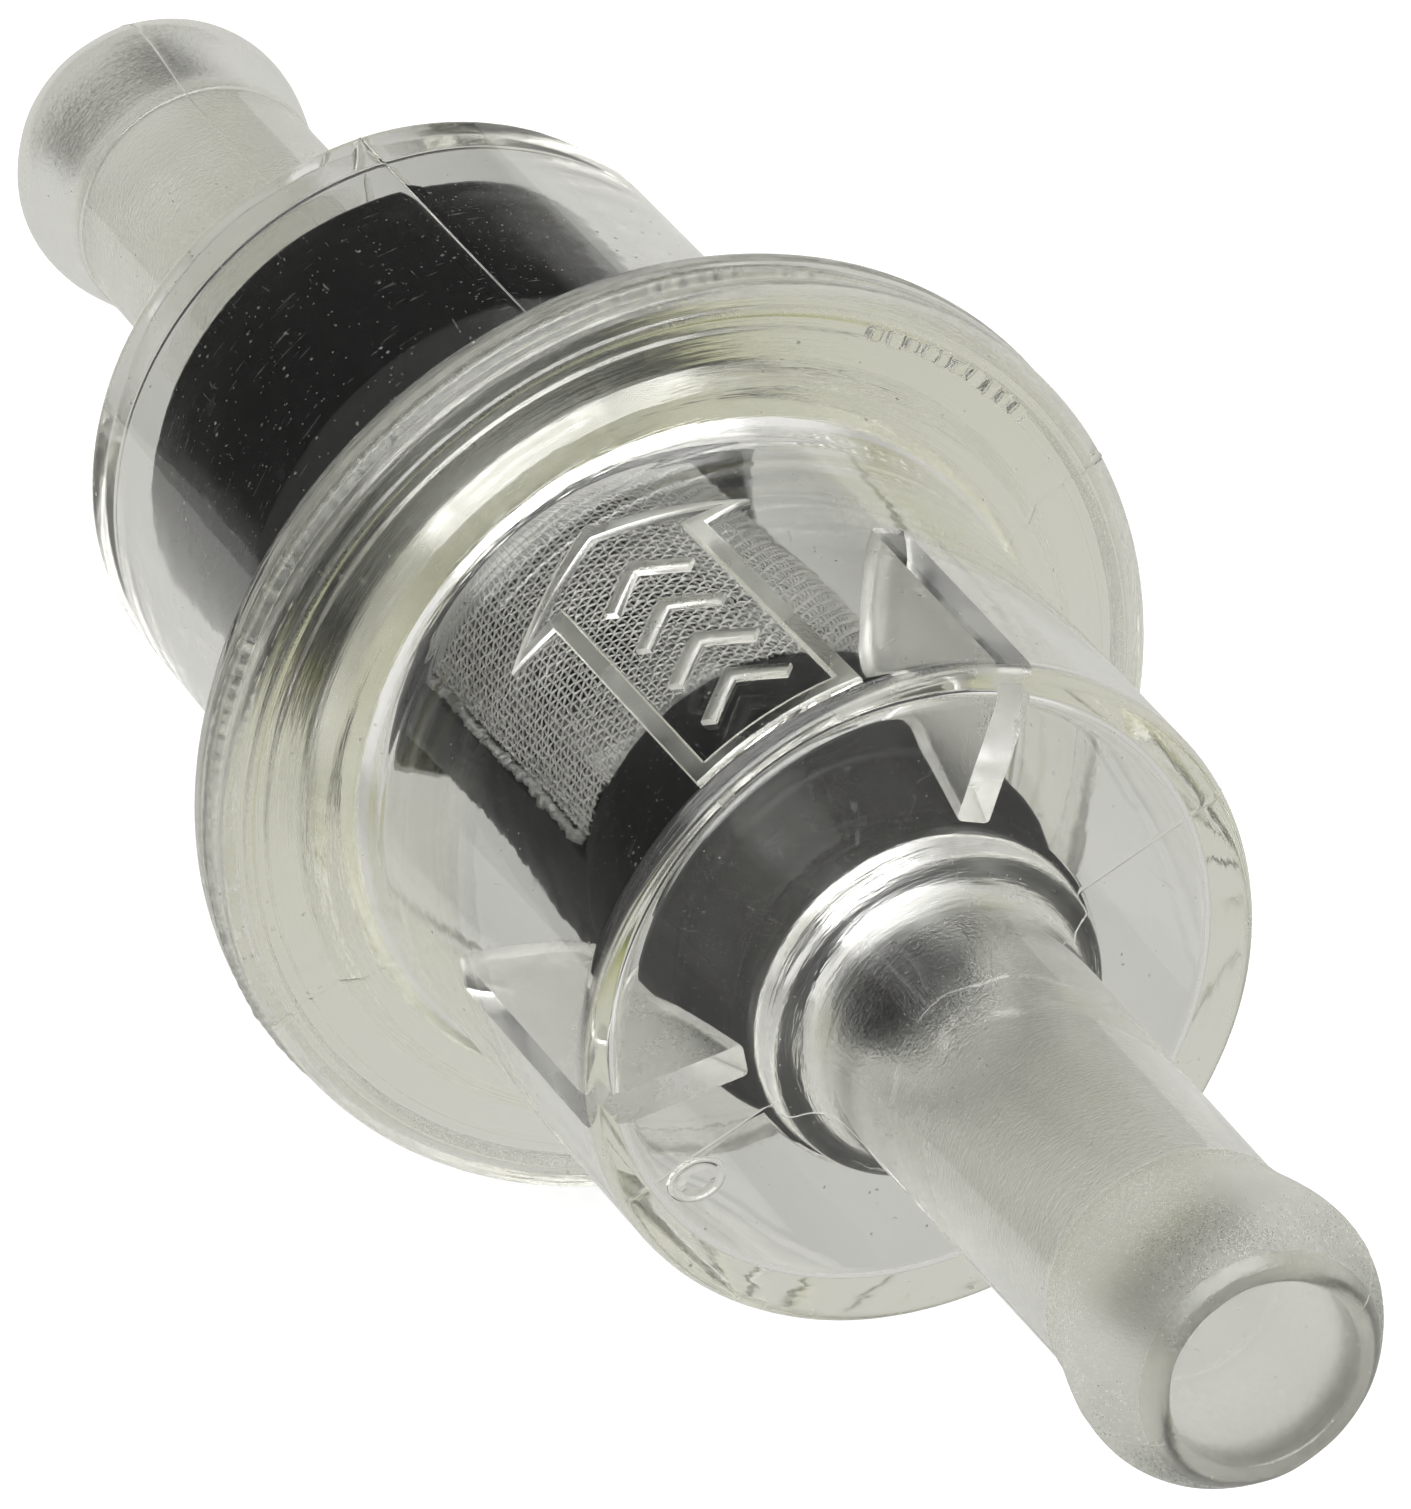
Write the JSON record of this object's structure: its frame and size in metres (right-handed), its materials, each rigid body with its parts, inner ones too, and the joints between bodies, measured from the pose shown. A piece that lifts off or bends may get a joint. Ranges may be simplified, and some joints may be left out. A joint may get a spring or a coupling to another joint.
{
  "type": "in-line fuel filter",
  "caption": "Clear in-line fuel filter with beaded hose nipples, a welded central flange, a raised flow arrow and a mesh-wrapped black element inside.",
  "frame": {"origin": "on the filter's axis, midway between the nipple tips; the weld plane of the flange is 0.36 mm towards the inlet", "axes": "+X along the axis in the direction of flow, from the inlet nipple to the outlet nipple; +Z towards the raised flow arrow; +Y completes the right-handed frame"},
  "size_m": [0.0792, 0.0294, 0.0294],
  "materials": {
    "clear_plastic": "clear, slightly yellow-green, polished, with frosted nipple beads",
    "weld_plastic": "hazy clear, rough weld flash",
    "black_base": "glossy black with fine scratches",
    "black_cage": "satin black, dusty",
    "nylon_mesh": "plain-weave translucent nylon monofilament"
  },
  "bodies": {
    "root": {"inlet_housing": "clear_plastic", "outlet_housing": "clear_plastic", "weld_bead": "weld_plastic", "element_base": "black_base", "element_cage": "black_cage", "mesh_screen": "nylon_mesh"}
  },
  "joints": []
}
